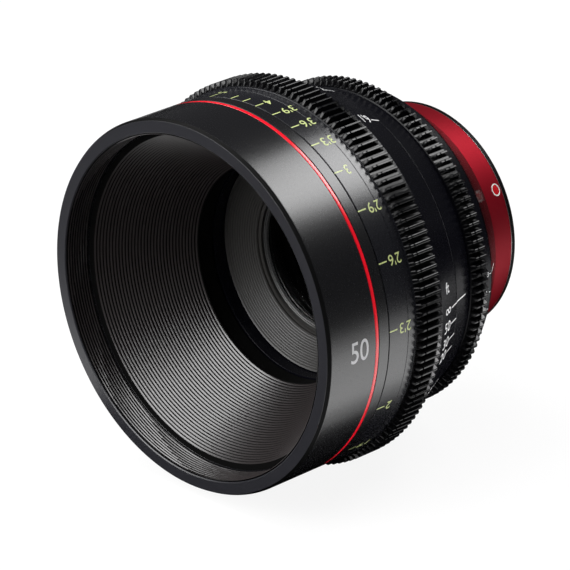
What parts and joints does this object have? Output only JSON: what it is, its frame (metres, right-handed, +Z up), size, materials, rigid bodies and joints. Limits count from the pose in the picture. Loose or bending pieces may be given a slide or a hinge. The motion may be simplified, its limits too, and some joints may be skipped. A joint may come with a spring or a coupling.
{
  "type": "cinema prime lens",
  "caption": "Cinema prime lens with a ribbed front hood, geared focus and iris rings, a working leaf iris and a bayonet camera mount.",
  "frame": {"origin": "centre of the rear flange face, on the optical axis", "axes": "+Y along the optical axis towards the camera, the front of the lens faces -Y, +Z up"},
  "size_m": [0.1184, 0.1067, 0.1184],
  "materials": {
    "black_barrel": "black anodised, satin",
    "black_ring": "black anodised, satin, engraved",
    "gloss_black": "black anodised, glossy",
    "baffle_black": "matt black",
    "red_line": "glossy red",
    "red_anodised": "deep red anodised, metallic",
    "red_enamel": "glossy red",
    "bright_trim": "polished",
    "mount_steel": "turned stainless steel",
    "steel": "plain steel",
    "blade_steel": "blackened spring steel, 0.06 mm",
    "brass": "turned brass",
    "optical_glass": "polished and coated"
  },
  "bodies": {
    "lens_body": {"front_barrel": "black_barrel", "red_line_ring": "red_line", "front_baffle": "baffle_black", "main_barrel": "black_barrel", "rear_barrel": "gloss_black", "iris_plate": "baffle_black", "iris_cover": "baffle_black", "rear_cell": "baffle_black", "rear_glass": "optical_glass", "rear_lock_ring": "baffle_black", "mount_ring": "red_anodised", "index_dot": "red_enamel", "index_dot_rim": "bright_trim", "bayonet_mount": "mount_steel", "mount_screws": "steel"},
    "focus_ring": {"focus_ring": "black_ring"},
    "front_group": {"front_cell": "baffle_black", "cam_follower": "brass", "front_glass": "optical_glass", "front_trim_ring": "bright_trim", "front_lock_ring": "baffle_black"},
    "iris_ring": {"iris_ring": "black_ring", "iris_drive_pin": "steel", "iris_cam_ring": "brass"},
    "blade_01": {"iris_blade_01": "blade_steel"},
    "blade_02": {"iris_blade_02": "blade_steel"},
    "blade_03": {"iris_blade_03": "blade_steel"},
    "blade_04": {"iris_blade_04": "blade_steel"},
    "blade_05": {"iris_blade_05": "blade_steel"},
    "blade_06": {"iris_blade_06": "blade_steel"},
    "blade_07": {"iris_blade_07": "blade_steel"},
    "blade_08": {"iris_blade_08": "blade_steel"},
    "blade_09": {"iris_blade_09": "blade_steel"},
    "blade_10": {"iris_blade_10": "blade_steel"},
    "blade_11": {"iris_blade_11": "blade_steel"}
  },
  "joints": [
    {"name": "focus_turn", "type": "hinge", "parent": "lens_body", "child": "focus_ring", "pos_m": [0, -0.062, 0], "axis": [0, -1, 0], "range_deg": [0, 300]},
    {"name": "focus_slide", "type": "slide", "parent": "lens_body", "child": "front_group", "axis": [0, -1, 0], "range_m": [0, 0.0043]},
    {"name": "iris_turn", "type": "hinge", "parent": "lens_body", "child": "iris_ring", "pos_m": [0, -0.029, 0], "axis": [0, -1, 0], "range_deg": [0, 60]},
    {"name": "blade_swing_01", "type": "hinge", "parent": "lens_body", "child": "blade_01", "pos_m": [0.0245, -0.0265, 0], "axis": [0, -1, 0], "range_deg": [0, 33]},
    {"name": "blade_swing_02", "type": "hinge", "parent": "lens_body", "child": "blade_02", "pos_m": [0.02061, -0.0265, 0.01325], "axis": [0, -1, 0], "range_deg": [0, 33]},
    {"name": "blade_swing_03", "type": "hinge", "parent": "lens_body", "child": "blade_03", "pos_m": [0.01018, -0.0265, 0.02229], "axis": [0, -1, 0], "range_deg": [0, 33]},
    {"name": "blade_swing_04", "type": "hinge", "parent": "lens_body", "child": "blade_04", "pos_m": [-0.00349, -0.0265, 0.02425], "axis": [0, -1, 0], "range_deg": [0, 33]},
    {"name": "blade_swing_05", "type": "hinge", "parent": "lens_body", "child": "blade_05", "pos_m": [-0.01604, -0.0265, 0.01852], "axis": [0, -1, 0], "range_deg": [0, 33]},
    {"name": "blade_swing_06", "type": "hinge", "parent": "lens_body", "child": "blade_06", "pos_m": [-0.02351, -0.0265, 0.0069], "axis": [0, -1, 0], "range_deg": [0, 33]},
    {"name": "blade_swing_07", "type": "hinge", "parent": "lens_body", "child": "blade_07", "pos_m": [-0.02351, -0.0265, -0.0069], "axis": [0, -1, 0], "range_deg": [0, 33]},
    {"name": "blade_swing_08", "type": "hinge", "parent": "lens_body", "child": "blade_08", "pos_m": [-0.01604, -0.0265, -0.01852], "axis": [0, -1, 0], "range_deg": [0, 33]},
    {"name": "blade_swing_09", "type": "hinge", "parent": "lens_body", "child": "blade_09", "pos_m": [-0.00349, -0.0265, -0.02425], "axis": [0, -1, 0], "range_deg": [0, 33]},
    {"name": "blade_swing_10", "type": "hinge", "parent": "lens_body", "child": "blade_10", "pos_m": [0.01018, -0.0265, -0.02229], "axis": [0, -1, 0], "range_deg": [0, 33]},
    {"name": "blade_swing_11", "type": "hinge", "parent": "lens_body", "child": "blade_11", "pos_m": [0.02061, -0.0265, -0.01325], "axis": [0, -1, 0], "range_deg": [0, 33]}
  ],
  "couplings": [
    {"joint": "focus_slide", "follows": "focus_turn", "m_per_rad": 0.00082124},
    {"joint": "blade_swing_01", "follows": "iris_turn", "ratio": 0.55},
    {"joint": "blade_swing_02", "follows": "iris_turn", "ratio": 0.55},
    {"joint": "blade_swing_03", "follows": "iris_turn", "ratio": 0.55},
    {"joint": "blade_swing_04", "follows": "iris_turn", "ratio": 0.55},
    {"joint": "blade_swing_05", "follows": "iris_turn", "ratio": 0.55},
    {"joint": "blade_swing_06", "follows": "iris_turn", "ratio": 0.55},
    {"joint": "blade_swing_07", "follows": "iris_turn", "ratio": 0.55},
    {"joint": "blade_swing_08", "follows": "iris_turn", "ratio": 0.55},
    {"joint": "blade_swing_09", "follows": "iris_turn", "ratio": 0.55},
    {"joint": "blade_swing_10", "follows": "iris_turn", "ratio": 0.55},
    {"joint": "blade_swing_11", "follows": "iris_turn", "ratio": 0.55}
  ]
}
